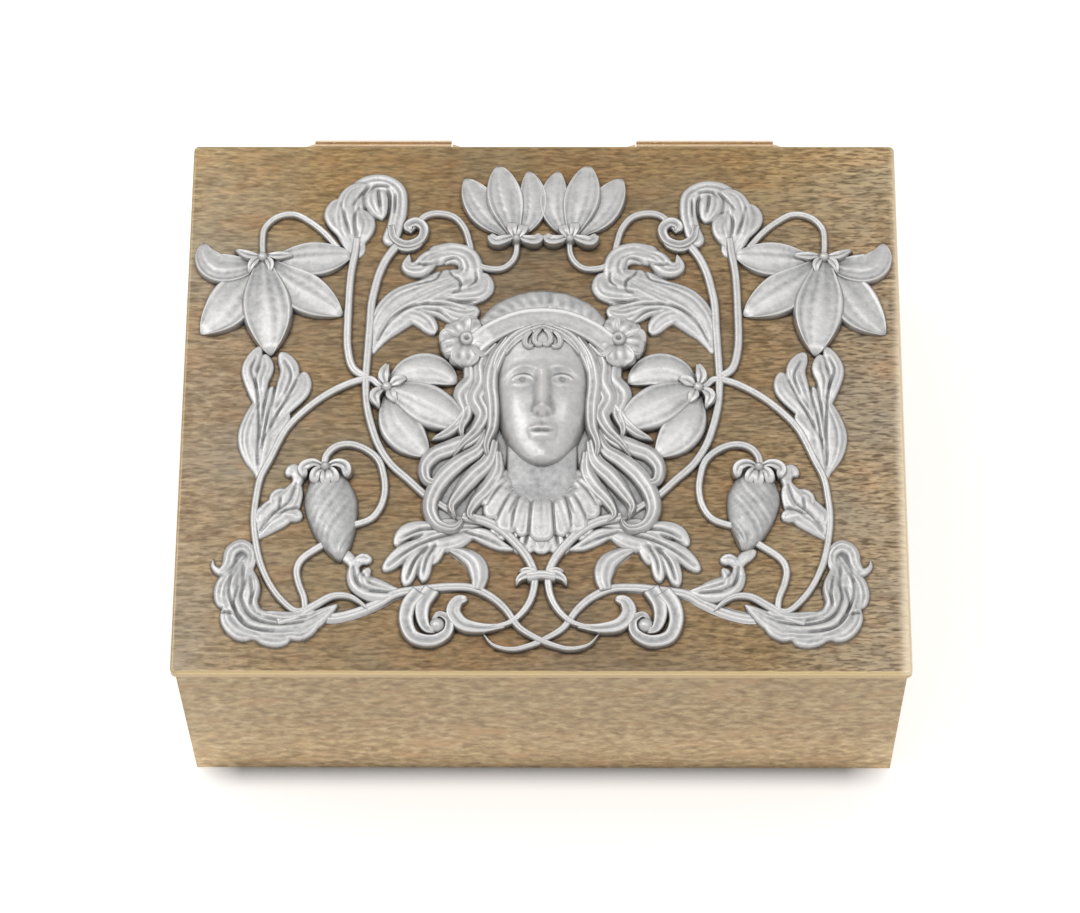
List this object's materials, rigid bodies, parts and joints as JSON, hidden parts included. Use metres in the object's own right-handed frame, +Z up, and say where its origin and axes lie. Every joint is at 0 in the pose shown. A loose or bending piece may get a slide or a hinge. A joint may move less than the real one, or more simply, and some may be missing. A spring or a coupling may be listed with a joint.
{
  "type": "lidded box",
  "caption": "Hinged table box of textured bronze sheet, cedar lined, its lid carrying a cast silver relief of a head among scrolling vines.",
  "frame": {"origin": "middle of the body's underside, on the table", "axes": "+X to the box's right as the picture shows it, +Y to the hinged back, +Z up"},
  "size_m": [0.23, 0.1914, 0.0932],
  "materials": {
    "bronze": "chased bark texture, patinated",
    "brass": "satin",
    "silver": "polished relief, oxidised recesses",
    "cedar": "planed, unvarnished"
  },
  "bodies": {
    "body": {"floor_plate": "bronze", "hinge_left_base_leaf": "brass", "hinge_left_bearer": "bronze", "hinge_left_pin": "brass", "hinge_right_base_leaf": "brass", "hinge_right_bearer": "bronze", "hinge_right_pin": "brass", "liner_back": "cedar", "liner_floor": "cedar", "liner_front": "cedar", "liner_left": "cedar", "liner_right": "cedar", "rivet_left_base_a": "brass", "rivet_left_base_b": "brass", "rivet_right_base_a": "brass", "rivet_right_base_b": "brass", "wall_back": "bronze", "wall_front": "bronze", "wall_left": "bronze", "wall_right": "bronze"},
    "lid": {"bellflower_left": "silver", "bellflower_right": "silver", "bud_leaf_left": "silver", "bud_leaf_right": "silver", "bud_left": "silver", "bud_right": "silver", "corner_leaf_left": "silver", "corner_leaf_right": "silver", "crest_leaf_left": "silver", "crest_leaf_right": "silver", "fan_leaf_left": "silver", "fan_leaf_right": "silver", "hinge_left_lid_leaf": "brass", "hinge_right_lid_leaf": "brass", "hook_leaf_left": "silver", "hook_leaf_right": "silver", "lid_liner": "cedar", "lid_plate": "bronze", "lid_rim": "bronze", "lily_left": "silver", "lily_right": "silver", "lower_vines": "silver", "mask_collar": "silver", "mask_face": "silver", "mask_hair_left": "silver", "mask_hair_right": "silver", "mask_headband": "silver", "mask_rosette_left": "silver", "mask_rosette_right": "silver", "rivet_left_lid_a": "brass", "rivet_left_lid_b": "brass", "rivet_right_lid_a": "brass", "rivet_right_lid_b": "brass", "side_leaf_left": "silver", "side_leaf_right": "silver", "tulip_left": "silver", "tulip_right": "silver", "vine_left": "silver", "vine_right": "silver"}
  },
  "joints": [
    {"name": "lid_hinge", "type": "hinge", "parent": "body", "child": "lid", "pos_m": [0, 0.0954, 0.0795], "axis": [-1, 0, 0], "range_deg": [0, 100]}
  ]
}
